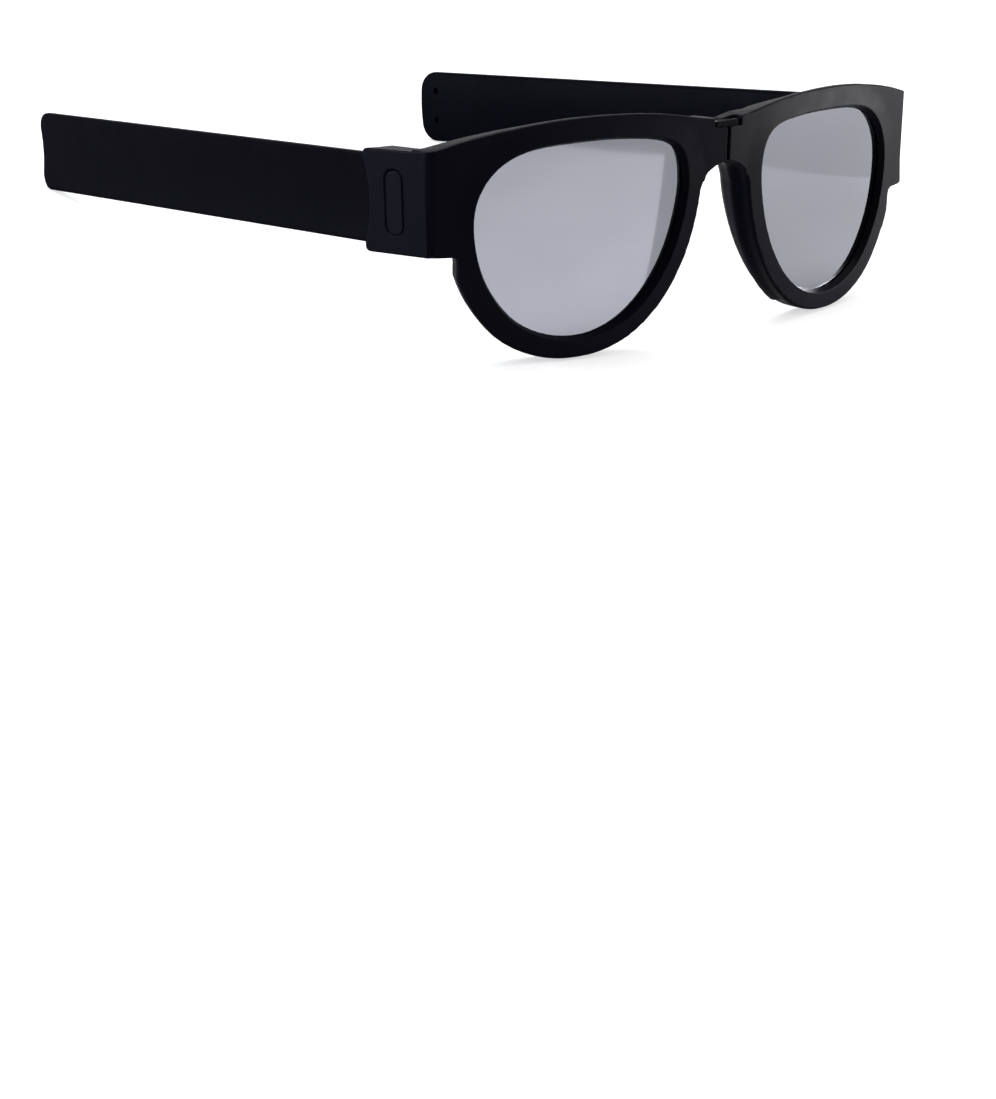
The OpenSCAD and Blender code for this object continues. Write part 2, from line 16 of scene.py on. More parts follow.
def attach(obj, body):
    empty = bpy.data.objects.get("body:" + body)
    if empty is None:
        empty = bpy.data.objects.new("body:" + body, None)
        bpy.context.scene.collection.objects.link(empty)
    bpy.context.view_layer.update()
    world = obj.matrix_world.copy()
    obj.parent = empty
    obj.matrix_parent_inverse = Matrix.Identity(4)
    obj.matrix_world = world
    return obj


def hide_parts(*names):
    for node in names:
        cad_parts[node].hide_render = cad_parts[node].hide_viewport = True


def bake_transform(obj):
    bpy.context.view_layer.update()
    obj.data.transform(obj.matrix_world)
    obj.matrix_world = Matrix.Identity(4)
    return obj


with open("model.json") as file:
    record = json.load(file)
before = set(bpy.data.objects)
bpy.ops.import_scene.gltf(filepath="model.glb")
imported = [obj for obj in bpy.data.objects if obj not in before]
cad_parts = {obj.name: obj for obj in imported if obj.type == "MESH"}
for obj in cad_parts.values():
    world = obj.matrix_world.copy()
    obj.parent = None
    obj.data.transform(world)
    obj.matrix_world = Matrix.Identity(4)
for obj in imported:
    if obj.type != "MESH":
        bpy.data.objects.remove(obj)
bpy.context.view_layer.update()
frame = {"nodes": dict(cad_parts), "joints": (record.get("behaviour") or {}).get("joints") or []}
MM = 0.001
# The sides, each with the sign of its x
SIDES = {"left": 1, "right": -1}

# Front, as in part.scad
half_w = 72.7
front_slope = 0.06
front_bow = 0.0016
lens_w = 52.0
lens_h = 41.1
lens_inset = 10.8
lens_drop = 2.0
lens_t = 1.8
lens_set = 1.6
lens_bite = 0.8
bevel = 1.0
corner_r = 1.4
plan_steps = 20
fold_pin = Vector((3.0, 1.65, -4.0))
# The outline of an opening, in shares of its width from the bridge and of its height from the top
opening_shape = [
    (0.49, 0), (0.73, 0.02), (0.875, 0.085), (0.965, 0.2), (1, 0.35), (0.98, 0.55),
    (0.918, 0.73), (0.805, 0.89), (0.65, 0.982), (0.48, 1), (0.315, 0.94), (0.18, 0.81),
    (0.08, 0.63), (0.022, 0.435), (0, 0.255), (0.027, 0.11), (0.107, 0.035), (0.277, 0.005),
]

# Straps, as in part.scad
pieces = 14
strap_h = 18.6
sleeve_t = 2.2
strap_arch = 1.0
tip_r = 4.5
root_len = 6.0
edge_r = 0.6

# Lenses: where the coat and its chamfer end, outwards from the opening, and the gaps in the groove
curve_steps = 16
lens_rings = 16
coat_edge = -0.30
chamfer_edge = -0.26
chamfer_depth = 0.12
edge_gap = 0.05
back_gap = 0.1

# Unevenness of the face up to about this depth, left by remeshing, is taken out
face_noise = 0.12
# The low lip of the face round an opening, and the wall that goes back from it to the lens
lip_reach = 5.0
lip_height = 0.30
lip_power = 1.5
wall_reach = 3.4
wall_shift = 1.2
# The openings are a little higher on the front. The raise fades out between two depths behind the face
top_raise = 1.1
raise_reach = 6.0
raise_depths = (2.0, 3.2)
# Where the top of the brow falls towards its back, beside the bridge
fall_slope = 0.14
fall_xs = (5.5, 10.0, 28.0, 40.0)
fall_zs = (-0.8, 1.0)
# Where the nose pad is, how much fuller it gets between two depths, and how often it is evened out
pad_from = 2.2
pad_side = 24.0
pad_seam = 0.8
pad_wall = 0.6
pad_top = -9.5
pad_swell = 0.6
pad_depths = (2.2, 3.8)
pad_rounds = 45
# Where the outer edge of the face is, between the bridge and the block, and how often it is evened out
edge_depth = 2.6
edge_wall = 2.0
edge_from = 6.5
edge_to = 64.0
edge_rounds = 60

# Skins of the straps
section_steps = 28
station_gap = 0.9
tip_corner_steps = 15
tip_edge_steps = 6
tip_clearance = 0.4
# The two moulding holes in each tip
tip_hole_r = 0.9
tip_hole_depth = 0.8
tip_hole_inset = 6.0
tip_hole_zs = (-0.18 * strap_h, 0.24 * strap_h)
tip_hole_steps = 24
cutter_reach = 1.0


# Frames of part.scad, in metres of the model

joints = {joint["name"]: joint for joint in frame["joints"]}


def frame_matrix(x_axis, y_axis, z_axis, origin):
    """Matrix of a frame with the given axes and origin."""
    matrix = Matrix((x_axis, y_axis, z_axis)).transposed().to_4x4()
    matrix.translation = origin
    return matrix


def find_front_frame():
    """The front frame, from the left fold joint, whose axis leans back with the front."""
    fold = joints["fold_left"]
    across = Vector((1, 0, 0))
    lean = Vector(fold["axis"])
    matrix = frame_matrix(across, lean.cross(across), lean, Vector((0, 0, 0)))
    matrix.translation = Vector(fold["pos_m"]) - matrix.to_3x3() @ (fold_pin * MM)
    return matrix


def bend_joint(side, k):
    """The joint that turns piece k of a strap. The last one leads, and has the name of the curl."""
    return joints[f"curl_{side}" if k == pieces else f"curl_{side}_{k}"]


front_frame = find_front_frame()
first_bend = Vector(bend_joint("left", 1)["pos_m"])
last_bend = Vector(bend_joint("left", pieces)["pos_m"])
along = (last_bend - first_bend).normalized()
upward = Vector(bend_joint("left", 1)["axis"])
strap_frame = frame_matrix(along.cross(upward), along, upward, first_bend)
piece_len = (last_bend - first_bend).length / (pieces - 1) / MM
strap_len = pieces * piece_len


# Meshes

def make_object(name, points, faces, material, place, side, smooth=True):
    """A mesh from points in millimetres of a frame, whose matrix is place. The right side is mirrored."""
    verts = []
    for point in points:
        x, y, z = place @ (Vector(point) * MM)
        verts.append((SIDES[side] * x, y, z))
    if side == "right":
        faces = [tuple(reversed(face)) for face in faces]
    mesh = bpy.data.meshes.new(name)
    mesh.from_pydata(verts, [], faces)
    mesh.update()
    mesh.polygons.foreach_set("use_smooth", [smooth] * len(mesh.polygons))
    mesh.materials.append(material)
    obj = bpy.data.objects.new(name, mesh)
    bpy.context.scene.collection.objects.link(obj)
    return obj


def sharpen(obj, is_sharp):
    """Keeps faces from shading into each other over the edges whose two points pass a test."""
    sharp = obj.data.attributes.new("sharp_edge", "BOOLEAN", "EDGE")
    for edge in obj.data.edges:
        sharp.data[edge.index].value = is_sharp(*edge.vertices)


def ring_quads(rings, count, first=0):
    """Quads between closed rings of points, which face outwards where the rings turn clockwise."""
    quads = []
    for ring in range(rings - 1):
        for j in range(count):
            a = first + ring * count + j
            b = first + ring * count + (j + 1) % count
            quads.append((a, b, b + count, a + count))
    return quads


def loft_faces(rings, count):
    """Such quads, and a cap at each end."""
    first_cap = tuple(reversed(range(count)))
    last_cap = tuple(range((rings - 1) * count, rings * count))
    return ring_quads(rings, count) + [first_cap, last_cap]


def applied(obj):
    """Replaces the object's mesh by its modified one."""
    graph = bpy.context.evaluated_depsgraph_get()
    mesh = bpy.data.meshes.new_from_object(obj.evaluated_get(graph))
    old = obj.data
    obj.modifiers.clear()
    obj.data = mesh
    bpy.data.meshes.remove(old)


def add_smoothing(obj, rounds):
    smooth = obj.modifiers.new("smooth", "SMOOTH")
    smooth.factor = 0.5
    smooth.iterations = rounds
    return smooth


def softened(name, node, material, voxel, rounds):
    """A copy of a rigid node with evenly rounded edges, remeshed at a voxel size in millimetres."""
    obj = bpy.data.objects.new(name, frame["nodes"][node].data.copy())
    bpy.context.scene.collection.objects.link(obj)
    remesh = obj.modifiers.new("remesh", "REMESH")
    remesh.mode = "VOXEL"
    remesh.voxel_size = voxel * MM
    remesh.use_smooth_shade = True
    add_smoothing(obj, rounds)
    applied(obj)
    obj.data.materials.clear()
    obj.data.materials.append(material)
    obj.data.polygons.foreach_set("use_smooth", [True] * len(obj.data.polygons))
    return obj


def evened(obj, chosen, rounds):
    """Evens out the surface at the chosen points."""
    group = obj.vertex_groups.new(name="chosen")
    group.add(np.nonzero(chosen)[0].tolist(), 1.0, "REPLACE")
    add_smoothing(obj, rounds).vertex_group = group.name
    applied(obj)
    obj.vertex_groups.clear()


def thinned(obj):
    """Fewer faces where the surface is plain."""
    thin = obj.modifiers.new("thin", "DECIMATE")
    thin.ratio = 0.3
    applied(obj)


# Materials

def node_material(name):
    material = bpy.data.materials.new(name)
    material.use_nodes = True
    shader = material.node_tree.nodes["Principled BSDF"]
    return material, material.node_tree, shader


def noise(tree, size_mm, detail, roughness=0.5):
    """Noise with features of about the given size, in the model's own space."""
    coords = tree.nodes.new("ShaderNodeTexCoord")
    node = tree.nodes.new("ShaderNodeTexNoise")
    node.inputs["Scale"].default_value = 1 / (size_mm * MM)
    node.inputs["Detail"].default_value = detail
    node.inputs["Roughness"].default_value = roughness
    tree.links.new(coords.outputs["Object"], node.inputs["Vector"])
    return node.outputs["Fac"]


def ramp(tree, value, color_low, color_high, low, high):
    """A colour that goes from one to another while a value goes from low to high."""
    node = tree.nodes.new("ShaderNodeValToRGB")
    node.color_ramp.elements[0].position = low
    node.color_ramp.elements[1].position = high
    node.color_ramp.elements[0].color = (*color_low, 1)
    node.color_ramp.elements[1].color = (*color_high, 1)
    tree.links.new(value, node.inputs["Fac"])
    return node.outputs["Color"]


def drift(tree, socket, color_low, color_high, size_mm, detail=3):
    """Lets a socket drift between two colours over features of about the given size."""
    color = ramp(tree, noise(tree, size_mm, detail), color_low, color_high, low=0.3, high=0.7)
    tree.links.new(color, socket)


def grey(value):
    return (value, value, value)


def add_bump(tree, shader, height, distance_mm):
    bump = tree.nodes.new("ShaderNodeBump")
    bump.inputs["Strength"].default_value = 1.0
    bump.inputs["Distance"].default_value = distance_mm * MM
    tree.links.new(height, bump.inputs["Height"])
    tree.links.new(bump.outputs["Normal"], shader.inputs["Normal"])


def moulded_plastic(name, color, rough, specular):
    """Satin plastic with a fine grain, a little uneven in colour and gloss."""
    material, tree, shader = node_material(name)
    darker = [0.85 * c for c in color]
    lighter = [1.2 * c for c in color]
    drift(tree, shader.inputs["Base Color"], darker, lighter, size_mm=14)
    drift(tree, shader.inputs["Roughness"], grey(rough - 0.04), grey(rough + 0.05), size_mm=5)
    shader.inputs["Specular IOR Level"].default_value = specular
    grain = noise(tree, size_mm=0.35, detail=2, roughness=0.6)
    add_bump(tree, shader, grain, distance_mm=0.012)
    return material


def silicone(name, color, dust_color, rough, specular):
    """Soft matt skin with faint cloudy dust and a few specks."""
    speck_gap = 7
    speck_color = [3 * c for c in dust_color]
    material, tree, shader = node_material(name)
    cloud_noise = noise(tree, size_mm=22, detail=4, roughness=0.6)
    clouds = ramp(tree, cloud_noise, color, dust_color, low=0.35, high=0.75)
    coords = tree.nodes.new("ShaderNodeTexCoord")
    specks = tree.nodes.new("ShaderNodeTexVoronoi")
    specks.inputs["Scale"].default_value = 1 / (speck_gap * MM)
    tree.links.new(coords.outputs["Object"], specks.inputs["Vector"])
    speck = ramp(tree, specks.outputs["Distance"], grey(1), grey(0), low=0.02, high=0.035)
    mix = tree.nodes.new("ShaderNodeMix")
    mix.data_type = "RGBA"
    tree.links.new(speck, mix.inputs["Factor"])
    tree.links.new(clouds, mix.inputs["A"])
    mix.inputs["B"].default_value = (*speck_color, 1)
    tree.links.new(mix.outputs["Result"], shader.inputs["Base Color"])
    drift(tree, shader.inputs["Roughness"], grey(rough - 0.05), grey(rough + 0.06), size_mm=9)
    shader.inputs["Specular IOR Level"].default_value = specular
    grain = noise(tree, size_mm=0.5, detail=3, roughness=0.6)
    add_bump(tree, shader, grain, distance_mm=0.02)
    return material


def mirror_coat(name):
    """Silver coat over a grey lens."""
    darker = (0.324, 0.328, 0.372)
    lighter = (0.344, 0.347, 0.390)
    material, tree, shader = node_material(name)
    drift(tree, shader.inputs["Base Color"], darker, lighter, size_mm=30, detail=2)
    drift(tree, shader.inputs["Roughness"], grey(0.03), grey(0.05), size_mm=12)
    shader.inputs["Metallic"].default_value = 1.0
    return material


def smoke_back(name):
    """Edge and rear of a lens: dark grey with a gloss."""
    darker = (0.055, 0.054, 0.055)
    lighter = (0.07, 0.069, 0.07)
    material, tree, shader = node_material(name)
    drift(tree, shader.inputs["Base Color"], darker, lighter, size_mm=25, detail=2)
    drift(tree, shader.inputs["Roughness"], grey(0.08), grey(0.14), size_mm=10)
    shader.inputs["Specular IOR Level"].default_value = 0.7
    return material


def hinge_steel(name, dark, light):
    material, tree, shader = node_material(name)
    drift(tree, shader.inputs["Base Color"], dark, light, size_mm=1.5)
    drift(tree, shader.inputs["Roughness"], grey(0.28), grey(0.42), size_mm=0.6)
    shader.inputs["Metallic"].default_value = 1.0
    return material


plastic = moulded_plastic("frame_plastic", (0.0017, 0.0018, 0.0048), rough=0.44, specular=0.028)
button_plastic = moulded_plastic("button_plastic", (0.0021, 0.0023, 0.0056), rough=0.45, specular=0.029)
link_plastic = moulded_plastic("link_plastic", (0.0014, 0.0015, 0.0036), rough=0.5, specular=0.012)
clip_plastic = moulded_plastic("clip_plastic", (0.010, 0.010, 0.012), rough=0.5, specular=0.2)
rubber = silicone("strap_silicone", (0.0013, 0.0014, 0.0032), (0.0020, 0.0020, 0.0040),
                  rough=0.42, specular=0.010)
mirror = mirror_coat("lens_mirror")
smoke = smoke_back("lens_smoke")
steel = hinge_steel("hinge_steel", (0.035, 0.035, 0.038), (0.07, 0.07, 0.072))
spring_steel = hinge_steel("spring_steel", (0.22, 0.22, 0.23), (0.34, 0.34, 0.35))


# Openings

def front_y(x):
    """Depth of the bowed face."""
    return front_slope * np.abs(x) + front_bow * x * x


def closed_curve(points, steps):
    """Points of a smooth closed curve through the given ones."""
    count = len(points)
    out = []
    for i in range(count):
        a, b, c, d = (np.array(points[(i + k) % count], float) for k in (-1, 0, 1, 2))
        for j in range(steps):
            t = j / steps
            out.append(0.5 * (2 * b + (c - a) * t + (2 * a - 5 * b + 4 * c - d) * t * t
                              + (3 * b - a - 3 * c + d) * t ** 3))
    return np.array(out)


opening_points = [(lens_inset + u * lens_w, -lens_drop - v * lens_h) for u, v in opening_shape]
opening = closed_curve(opening_points, curve_steps)
tangents = np.roll(opening, -1, axis=0) - np.roll(opening, 1, axis=0)
tangents /= np.linalg.norm(tangents, axis=1)[:, None]
opening_normals = np.stack([-tangents[:, 1], tangents[:, 0]], 1)
lens_middle = np.array((lens_inset + lens_w / 2, -lens_drop - lens_h / 2))


def raised(z):
    """How far a point of the upper half of an opening is raised on the front."""
    top = opening[:, 1].max()
    return top_raise * np.clip((z - lens_middle[1]) / (top - lens_middle[1]), 0, 1)


def distance_to_opening(points):
    """Signed distances of points in x and z from the opening, outwards, and the directions outwards."""
    batch = 2000
    nearest = np.empty(len(points), int)
    for i in range(0, len(points), batch):
        part = points[i:i + batch, None, :] - opening[None, :, :]
        nearest[i:i + batch] = np.argmin((part ** 2).sum(2), axis=1)
    directions = opening_normals[nearest]
    return (directions * (points - opening[nearest])).sum(1), directions


# Front halves

def to_front(side):
    """Matrix from the model into the front frame, in metres, with the right half mirrored to the left."""
    flip = Matrix.Diagonal((SIDES[side], 1, 1, 1))
    return np.array(front_frame.inverted() @ flip)


def front_points(mesh, matrix):
    """The points of a mesh in millimetres of the front frame."""
    points = np.empty(len(mesh.vertices) * 3)
    mesh.vertices.foreach_get("co", points)
    return (points.reshape(-1, 3) @ matrix[:3, :3].T + matrix[:3, 3]) / MM


def swell_pad(obj, side, pad, behind, outwards):
    """Makes the nose pad fuller, away from the opening."""
    swell = pad_swell * np.interp(behind, pad_depths, (0, 1)) * pad
    moved = np.zeros((len(pad), 3))
    moved[:, 0] = SIDES[side] * swell * outwards[:, 0]
    moved[:, 2] = swell * outwards[:, 1]
    moved *= MM
    points = np.empty(moved.size)
    obj.data.vertices.foreach_get("co", points)
    obj.data.vertices.foreach_set("co", points + (moved @ np.array(front_frame)[:3, :3].T).ravel())


def round_edges(obj, side):
    """Rounds the outer edge of the face, and the nose pad, which leaves its block-like packed form."""
    x, y, z = front_points(obj.data, to_front(side)).T
    behind = y - front_y(x)
    away, outwards = distance_to_opening(np.stack([x, z], 1))
    pad = (behind > pad_from) & (x > pad_seam) & (x < pad_side) & (away > pad_wall) & (z < pad_top)
    edge = (behind < edge_depth) & (away > edge_wall) & (x > edge_from) & (x < edge_to)
    swell_pad(obj, side, pad, behind, outwards)
    evened(obj, edge, edge_rounds)
    evened(obj, pad, pad_rounds)


def true_face(points):
    """Trues the bow of the face, which is a polygon in plan when packed, and takes out its noise.

    Returns how far the points are behind the face, and how much they belong to it, from 0 to 1.
    """
    steps = np.linspace(0, half_w - corner_r, plan_steps + 1)
    points[:, 1] += front_y(points[:, 0]) - np.interp(points[:, 0], steps, front_y(steps))
    behind = points[:, 1] - front_y(points[:, 0])
    flat = np.clip(1 - (behind / face_noise) ** 2, 0, 1)
    points[:, 1] -= flat * behind
    return np.clip(behind * (1 - flat), 0, None), flat


def drop_brow(points, behind):
    """Lets the top of the brow fall towards its back, beside the bridge."""
    fall = np.interp(points[:, 0], fall_xs, (0, 1, 1, 0)) * np.interp(points[:, 2], fall_zs, (0, 1))
    points[:, 2] -= fall_slope * fall * behind


def rise(away, reach, power):
    """From 0 at a distance from the opening to 1 at its edge, and the slope of that."""
    t = np.clip((reach - away) / (reach - bevel), 0, 1)
    return t ** power, power * t ** (power - 1) / (reach - bevel)


def shape_opening(points, behind):
    """Raises the opening's top and its lip, and moves the front of its wall inwards and along the bow.

    Returns the normals of the face that this makes.
    """
    away, outwards = distance_to_opening(points[:, [0, 2]])
    near, _ = rise(away, raise_reach, 1)
    points[:, 2] += raised(points[:, 2]) * near * np.interp(behind, raise_depths, (1, 0))
    share = np.clip(1 - behind / lens_set, 0, 1)
    lip, lip_slope = rise(away, lip_reach, lip_power)
    wall, wall_slope = rise(away, wall_reach, lip_power)
    bow = front_slope + 2 * front_bow * points[:, 0]
    points[:, 1] -= lip_height * lip * share
    shift = -(wall_shift * wall * share)[:, None] * outwards
    points[:, 0] += shift[:, 0] + bow * lens_set * wall * share
    points[:, 2] += shift[:, 1]
    slope = lip_height * lip_slope / (1 + wall_shift * wall_slope)
    normals = np.stack([bow + slope * outwards[:, 0], -np.ones(len(points)), slope * outwards[:, 1]], 1)
    return normals / np.linalg.norm(normals, axis=1)[:, None]


def shape_face(obj, side):
    """Gives the face its true bow, brow and openings.

    The face takes its normals from a formula, so that no long triangle shows in its gloss.
    """
    matrix = to_front(side)
    points = front_points(obj.data, matrix)
    behind, flat = true_face(points)
    drop_brow(points, behind)
    chosen = np.nonzero(behind < raise_depths[1])[0]
    near_front = points[chosen]
    face_normals = shape_opening(near_front, behind[chosen])
    points[chosen] = near_front
    back = np.linalg.inv(matrix)
    obj.data.vertices.foreach_set("co", ((points * MM) @ back[:3, :3].T + back[:3, 3]).ravel())
    obj.data.update()

    normals = np.empty(points.size)
    obj.data.vertex_normals.foreach_get("vector", normals)
    normals = normals.reshape(-1, 3)
    weight = np.clip(2 * flat[chosen] - 1, 0, 1)[:, None]
    mixed = weight * (face_normals @ back[:3, :3].T) + (1 - weight) * normals[chosen]
    normals[chosen] = mixed / np.linalg.norm(mixed, axis=1)[:, None]
    obj.data.normals_split_custom_set_from_vertices(normals.tolist())


def make_front(side):
    """The half of the front, with its release button."""
    shell = softened(f"frame_{side}_shell", f"frame_{side}", plastic, voxel=0.16, rounds=12)
    round_edges(shell, side)
    thinned(shell)
    shape_face(shell, side)
    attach(shell, f"front_{side}")
    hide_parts(f"frame_{side}")

    button_node = f"release_button_{side}"
    button = softened(f"{button_node}_cap", button_node, button_plastic, voxel=0.1, rounds=6)
    thinned(button)
    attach(button, f"button_{side}")
    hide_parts(button_node)


# Lenses

def lens_outline(edge):
    """The outline of a lens at a distance outwards from the opening."""
    rim = opening + edge * opening_normals
    rim[:, 1] += raised(rim[:, 1])
    return rim


def lens_point(x, z, depth):
    return (x, front_y(x) + depth, z)


def lens_face(depth, edge):
    """Rings of points from the middle of a lens out to its edge, on the curved front."""
    rim = lens_outline(edge)
    points = [lens_point(*lens_middle, depth)]
    for ring in range(1, lens_rings + 1):
        points += [lens_point(*p, depth) for p in lens_middle + (rim - lens_middle) * ring / lens_rings]
    return points


def make_lens(side):
    """A lens whose coat ends in a fine chamfer inside its groove, with a grey edge and rear."""
    count = len(opening)
    lens_edge = lens_bite - bevel - edge_gap
    front_depth = lens_set + chamfer_depth
    back_depth = lens_set + lens_t - back_gap

    points = lens_face(lens_set, coat_edge)
    for edge, depth in ((chamfer_edge, front_depth), (lens_edge, front_depth), (lens_edge, back_depth)):
        points += [lens_point(*p, depth) for p in lens_outline(edge)]
    faces = [(0, 1 + (j + 1) % count, 1 + j) for j in range(count)]
    faces += ring_quads(lens_rings + 3, count, first=1)

    back_first = len(points)
    points += lens_face(back_depth, lens_edge)
    faces += [(back_first, back_first + 1 + j, back_first + 1 + (j + 1) % count) for j in range(count)]
    faces += [(a, d, c, b) for a, b, c, d in ring_quads(lens_rings, count, first=back_first + 1)]

    obj = make_object(f"lens_{side}_shell", points, faces, mirror, front_frame, side)
    obj.data.materials.append(smoke)
    coat_faces = lens_rings * count
    indices = [0] * coat_faces + [1] * (len(faces) - coat_faces)
    obj.data.polygons.foreach_set("material_index", indices)
    rim_first = 1 + (lens_rings - 1) * count
    chamfer_last = rim_first + 2 * count - 1
    sharpen(obj, lambda a, b: rim_first <= min(a, b) and max(a, b) <= chamfer_last)
    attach(obj, f"front_{side}")
    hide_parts(f"lens_{side}")


# Straps

def edge_drop(distance):
    """How far a face falls back at a distance from the edge of the sleeve."""
    if distance >= edge_r:
        return 0.0
    return edge_r - math.sqrt(max(edge_r ** 2 - (edge_r - distance) ** 2, 0))


def edge_distance(y, z):
    """Distance inwards from the outline of the strap, whose tip has round corners."""
    dz = abs(z) - (strap_h / 2 - tip_r)
    dy = y - (strap_len - tip_r)
    outside = math.hypot(max(dz, 0), max(dy, 0)) + min(max(dz, dy), 0)
    return tip_r - outside


def strap_section(y):
    """Points round the arched section of the strap at a distance along it."""
    reach = strap_h / 2
    past = y - (strap_len - tip_r)
    if past > 0:
        reach = strap_h / 2 - tip_r + math.sqrt(max(tip_r ** 2 - past ** 2, 0))
    outer, inner = [], []
    for i in range(section_steps + 1):
        z = reach * math.sin(math.pi / 2 * (2 * i / section_steps - 1))
        arch = -strap_arch * (1 - (2 * z / strap_h) ** 2)
        drop = edge_drop(max(edge_distance(y, z), 0))
        outer.append((arch - drop, y, z))
        inner.append((arch - sleeve_t + drop, y, z))
    return outer + inner[::-1]


def stations(y0, y1):
    """Distances along the strap of the sections of a piece, closer together at the tip."""
    ys = list(np.linspace(y0, y1, round((y1 - y0) / station_gap) + 1))
    if y1 == strap_len:
        corner_angles = np.linspace(0, math.pi / 2, tip_corner_steps + 1)[:-1]
        edge_angles = np.linspace(0, math.pi / 2, tip_edge_steps + 1)
        ys = [y for y in ys if y < strap_len - tip_r - tip_clearance]
        ys += [strap_len - tip_r + tip_r * math.sin(a) for a in corner_angles]
        ys += [strap_len - edge_r * (1 - math.sin(a)) for a in edge_angles]
        ys = sorted(set(round(y, 4) for y in ys))
    return ys


def drill_tip(obj, side):
    """Two blind moulding holes on the inner face of the tip."""
    angles = np.linspace(0, 2 * math.pi, tip_hole_steps + 1)[:-1]
    ring = [(tip_hole_r * math.cos(a), tip_hole_r * math.sin(a)) for a in angles]
    for number, z in enumerate(tip_hole_zs):
        face = -sleeve_t - strap_arch * (1 - (2 * z / strap_h) ** 2)
        points = [(x, strap_len - tip_hole_inset + u, z + v)
                  for x in (face - cutter_reach, face + tip_hole_depth) for u, v in ring]
        faces = loft_faces(2, len(ring))
        cutter = make_object(f"cutter_{number}", points, faces, rubber, strap_frame, side, smooth=False)
        cut = obj.modifiers.new("cut", "BOOLEAN")
        cut.operation = "DIFFERENCE"
        cut.object = cutter
        applied(obj)
        bpy.data.objects.remove(cutter)


def make_strap(side):
    """The sleeve, as one skin for each piece."""
    count = 2 * (section_steps + 1)
    for k in range(1, pieces + 1):
        pivot = (k - 1) * piece_len
        y0 = -root_len if k == 1 else pivot - piece_len / 2
        y1 = strap_len if k == pieces else pivot + piece_len / 2
        ys = stations(y0, y1)
        points = [p for y in ys for p in strap_section(y)]
        faces = loft_faces(len(ys), count)
        obj = make_object(f"sleeve_{side}_{k}_skin", points, faces, rubber, strap_frame, side)
        last = len(points) - count
        sharpen(obj, lambda a, b: max(a, b) < count or min(a, b) >= last)
        if k == pieces:
            drill_tip(obj, side)

        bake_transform(obj)
        nodes = [f"sleeve_{side}_{k}"]
        if k == 1:
            nodes += [f"sleeve_root_{side}", f"spring_blade_{side}"]
        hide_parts(*nodes)


# Building

def dress(material, *nodes):
    """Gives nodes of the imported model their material."""
    for node in nodes:
        frame["nodes"][node].data.materials[0] = material


for side in SIDES:
    make_lens(side)
    make_strap(side)
    make_front(side)
    dress(steel, f"hinge_bracket_{side}", f"hinge_screw_{side}")
    dress(spring_steel, f"button_spring_{side}", f"clip_rivets_{side}")
    dress(clip_plastic, f"strap_clip_{side}")

dress(link_plastic, "hinge_link")
dress(steel, "hinge_pins")


# Stage, light and camera

def make_floor():
    """White floor that goes on to the horizon and keeps the object's shadow."""
    reach = 6.0
    paper_grey = 0.5
    glow_to_camera = 0.58
    corners = [(-reach, -reach, 0), (reach, -reach, 0), (reach, reach, 0), (-reach, reach, 0)]
    mesh = bpy.data.meshes.new("floor")
    mesh.from_pydata(corners, [], [(0, 1, 2, 3)])
    material = bpy.data.materials.new("floor_white")
    material.use_nodes = True
    tree = material.node_tree
    tree.nodes.clear()
    out = tree.nodes.new("ShaderNodeOutputMaterial")
    paper = tree.nodes.new("ShaderNodeBsdfDiffuse")
    paper.inputs["Color"].default_value = (*grey(paper_grey), 1)
    glow = tree.nodes.new("ShaderNodeEmission")
    rays = tree.nodes.new("ShaderNodeLightPath")
    add = tree.nodes.new("ShaderNodeAddShader")
    lift = tree.nodes.new("ShaderNodeMath")
    lift.operation = "MULTIPLY"
    lift.inputs[1].default_value = glow_to_camera
    tree.links.new(rays.outputs["Is Camera Ray"], lift.inputs[0])
    tree.links.new(lift.outputs[0], glow.inputs["Strength"])
    tree.links.new(paper.outputs[0], add.inputs[0])
    tree.links.new(glow.outputs[0], add.inputs[1])
    tree.links.new(add.outputs[0], out.inputs["Surface"])
    mesh.materials.append(material)
    floor = bpy.data.objects.new("floor", mesh)
    bpy.context.scene.collection.objects.link(floor)


def make_paper(name, corners, white):
    """Sheet of paper on the floor, out of view, whose edges the mirror lenses show."""
    above_floor = 0.0002
    mesh = bpy.data.meshes.new(name)
    mesh.from_pydata([(x * MM, y * MM, above_floor) for x, y in corners], [], [tuple(range(len(corners)))])
    material, tree, shader = node_material(name)
    drift(tree, shader.inputs["Base Color"], grey(white - 0.02), grey(white + 0.02), size_mm=90, detail=2)
    shader.inputs["Roughness"].default_value = 0.9
    shader.inputs["Specular IOR Level"].default_value = 0.0
    mesh.materials.append(material)
    sheet = bpy.data.objects.new(name, mesh)
    bpy.context.scene.collection.objects.link(sheet)
    sheet.visible_camera = False
    sheet.visible_diffuse = False
    sheet.visible_shadow = False


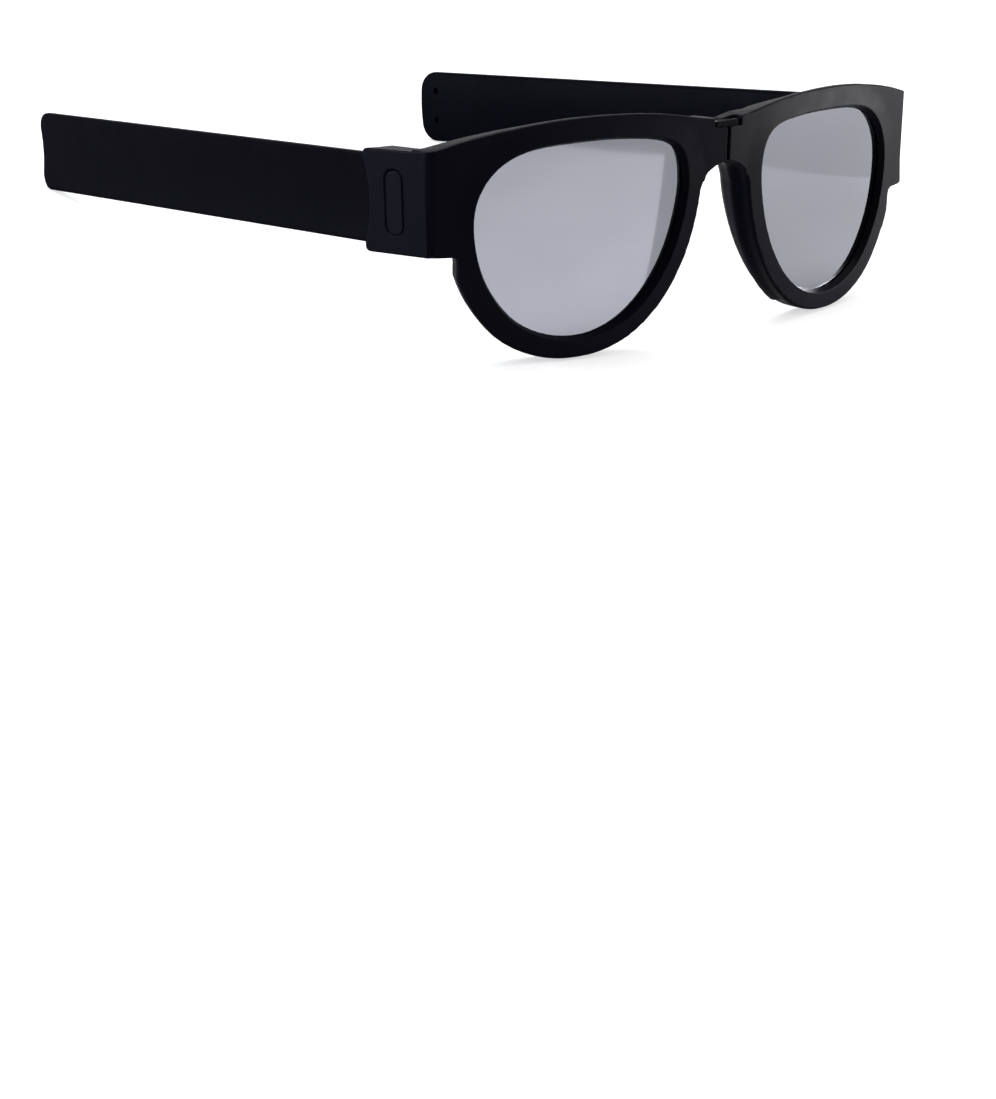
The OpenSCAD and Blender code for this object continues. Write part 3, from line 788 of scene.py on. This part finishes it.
def make_world():
    """Soft studio, brightest above and behind on the wearer's left. The camera sees plain white."""
    bright_side = Vector((0.72, 0.45, 0.52))
    dim_sky = (0.22, 0.22, 0.24, 1)
    sky_strength = 0.85
    white = (1, 1, 1, 1)
    world = bpy.data.worlds.new("studio")
    bpy.context.scene.world = world
    world.use_nodes = True
    tree = world.node_tree
    tree.nodes.clear()
    out = tree.nodes.new("ShaderNodeOutputWorld")
    coords = tree.nodes.new("ShaderNodeTexCoord")
    toward = tree.nodes.new("ShaderNodeVectorMath")
    toward.operation = "DOT_PRODUCT"
    toward.inputs[1].default_value = bright_side
    tree.links.new(coords.outputs["Generated"], toward.inputs[0])
    brightness = tree.nodes.new("ShaderNodeMapRange")
    brightness.inputs["From Min"].default_value = -1
    tree.links.new(toward.outputs["Value"], brightness.inputs["Value"])
    sky = tree.nodes.new("ShaderNodeValToRGB")
    sky.color_ramp.elements[0].position = 0.15
    sky.color_ramp.elements[0].color = dim_sky
    sky.color_ramp.elements[1].position = 0.8
    sky.color_ramp.elements[1].color = white
    tree.links.new(brightness.outputs["Result"], sky.inputs["Fac"])
    light = tree.nodes.new("ShaderNodeBackground")
    tree.links.new(sky.outputs["Color"], light.inputs["Color"])
    light.inputs["Strength"].default_value = sky_strength
    backdrop = tree.nodes.new("ShaderNodeBackground")
    backdrop.inputs["Color"].default_value = white
    backdrop.inputs["Strength"].default_value = 1.0
    rays = tree.nodes.new("ShaderNodeLightPath")
    mix = tree.nodes.new("ShaderNodeMixShader")
    tree.links.new(rays.outputs["Is Camera Ray"], mix.inputs["Fac"])
    tree.links.new(light.outputs[0], mix.inputs[1])
    tree.links.new(backdrop.outputs[0], mix.inputs[2])
    tree.links.new(mix.outputs[0], out.inputs["Surface"])


def add_softbox(name, place, aim, size, watts, color=(1, 1, 1)):
    lamp = bpy.data.lights.new(name, "AREA")
    lamp.color = color
    lamp.shape = "RECTANGLE"
    lamp.size, lamp.size_y = size
    lamp.energy = watts
    obj = bpy.data.objects.new(name, lamp)
    obj.location = place
    obj.rotation_euler = (Vector(aim) - Vector(place)).to_track_quat("-Z", "Y").to_euler()
    bpy.context.scene.collection.objects.link(obj)


# The camera that a fit to the photograph gave, round the bridge in the front frame
view_azimuth = math.radians(-41.97)
view_elevation = math.radians(17.87)
view_roll = math.radians(1.06)
view_distance = 581.8
aim_right = -49.2
aim_up = -91.0
image_height = 1099
focal_pixels = 2743.7


def make_camera():
    forward = Vector((-math.sin(view_azimuth) * math.cos(view_elevation),
                      math.cos(view_azimuth) * math.cos(view_elevation), -math.sin(view_elevation)))
    level = Vector((math.cos(view_azimuth), math.sin(view_azimuth), 0))
    steep = level.cross(forward)
    right = math.cos(view_roll) * level + math.sin(view_roll) * steep
    up = math.cos(view_roll) * steep - math.sin(view_roll) * level
    place = right * aim_right + up * aim_up - forward * view_distance
    data = bpy.data.cameras.new("camera")
    data.sensor_width = 36
    data.lens = data.sensor_width * focal_pixels / image_height
    data.clip_start = 0.01
    data.clip_end = 50
    camera = bpy.data.objects.new("camera", data)
    camera.matrix_world = front_frame @ frame_matrix(right, up, -forward, place * MM)
    bpy.context.scene.collection.objects.link(camera)
    bpy.context.scene.camera = camera


# Corners of the paper sheets, on the floor in millimetres
near_corners = [(217, -452), (-30, -80), (-600, -80), (-600, -947), (-50, -947)]
far_corners = [(262, -255), (226, -118), (226, 100), (-25, 100), (-25, -75), (95, -146)]

make_floor()
make_paper("near_sheet", near_corners, white=0.82)
make_paper("far_sheet", far_corners, white=0.60)
make_world()
add_softbox("top_light", place=(0.15, 0.25, 0.9), aim=(0, 0, 0), size=(0.9, 0.7), watts=9)
add_softbox("side_light", place=(0.95, -0.43, 0.13), aim=(0, -0.08, 0.03), size=(0.3, 0.22), watts=11.5)
add_softbox("back_light", place=(0.64, 0.62, 0.38), aim=(0, -0.05, 0.03), size=(0.5, 0.3), watts=0.6)
add_softbox("left_light", place=(-0.75, 0.55, 0.2), aim=(0, 0.02, 0.03), size=(0.4, 0.3), watts=8,
            color=(0.80, 0.85, 1.0))
make_camera()
bpy.context.scene.view_settings.view_transform = "Standard"
